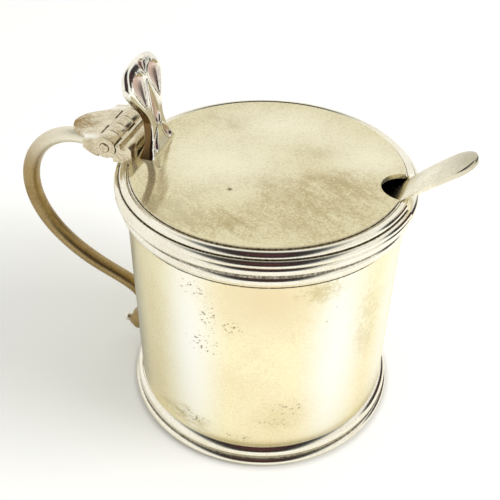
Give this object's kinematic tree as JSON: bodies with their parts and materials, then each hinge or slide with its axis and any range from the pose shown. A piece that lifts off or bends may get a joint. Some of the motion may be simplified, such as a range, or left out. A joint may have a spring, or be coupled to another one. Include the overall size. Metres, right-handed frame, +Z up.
{
  "type": "mustard pot",
  "caption": "Drum mustard pot in silver with reeded mouldings, a flat hinged lid notched for its spoon, a fluted thumbpiece, an ear-shaped handle and a blue glass liner.",
  "frame": {"origin": "centre of the ring that the pot stands on, at table level", "axes": "+Z up, +X from the handle and hinge towards the spoon notch, +Y along the hinge pin"},
  "size_m": [0.0946, 0.06, 0.0742],
  "materials": {
    "silver_sheet": "satin from wear, faint stains and scuffs",
    "silver_wire": "polished on the crests, dark in the sunk lines",
    "cast_silver": "polished casting, tarnished in its hollows",
    "hinge_silver": "worn satin with dark seams",
    "spoon_silver": "worn polish with fine scratches",
    "blue_glass": "clear cobalt glass"
  },
  "bodies": {
    "pot": {"drum_wall": "silver_sheet", "base_plate": "silver_sheet", "foot_moulding": "silver_wire", "rim_moulding": "silver_wire", "glass_liner": "blue_glass", "handle": "cast_silver", "hinge_bracket": "hinge_silver", "hinge_pin": "hinge_silver", "fixed_knuckle_near": "hinge_silver", "fixed_knuckle_middle": "hinge_silver", "fixed_knuckle_far": "hinge_silver"},
    "lid": {"lid_plate": "silver_sheet", "lid_border": "silver_wire", "lid_leaf": "hinge_silver", "lid_knuckle_near": "hinge_silver", "lid_knuckle_far": "hinge_silver", "thumbpiece": "cast_silver"},
    "spoon": {"spoon": "spoon_silver"}
  },
  "joints": [
    {"name": "lid_hinge", "type": "hinge", "parent": "pot", "child": "lid", "pos_m": [-0.0308, 0, 0.0586], "axis": [0, -1, 0], "range_deg": [0, 100]},
    {"name": "spoon_lift", "type": "slide", "parent": "pot", "child": "spoon", "axis": [0.6428, 0, 0.766], "range_m": [0, 0.034]}
  ]
}
